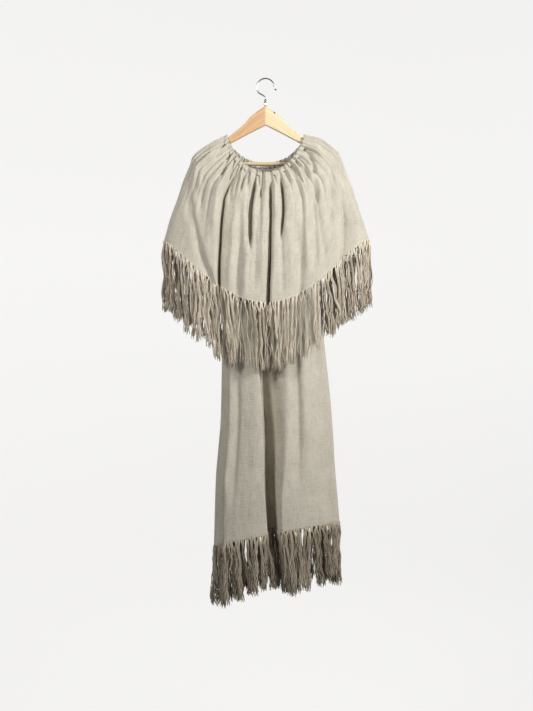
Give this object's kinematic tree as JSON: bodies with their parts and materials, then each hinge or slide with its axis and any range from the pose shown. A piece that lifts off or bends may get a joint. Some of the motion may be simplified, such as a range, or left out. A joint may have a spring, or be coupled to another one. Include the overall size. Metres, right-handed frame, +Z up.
{
  "type": "fringed cape kaftan on a wooden hanger",
  "caption": "Natural linen kaftan with a gathered neck, a fringed shoulder cape and a fringed hem, hung on a wooden hanger.",
  "frame": {"origin": "underside of the hook's crown, where the hanger hangs on a nail or rail", "axes": "+Z up, the front of the dress faces -Y, +X to the right of someone looking at the front"},
  "size_m": [0.5667, 0.1685, 1.4728],
  "materials": {
    "linen": "matt plain-weave natural linen",
    "yarn": "matt loose linen yarn",
    "warm_wood": "thin satin lacquer",
    "pale_wood": "thin satin lacquer",
    "bar_wood": "thin satin lacquer",
    "steel": "bright plated wire"
  },
  "bodies": {
    "root": {"neck_casing": "linen", "cape_front": "linen", "cape_back": "linen", "cape_fringe_front": "yarn", "cape_fringe_back": "yarn", "bodice_front": "linen", "bodice_back": "linen", "skirt_front": "linen", "skirt_back": "linen", "hem_fringe_front": "yarn", "hem_fringe_back": "yarn", "hanger_arm_left": "warm_wood", "hanger_arm_right": "pale_wood", "hanger_bar": "bar_wood", "hanger_hook": "steel"}
  },
  "joints": []
}
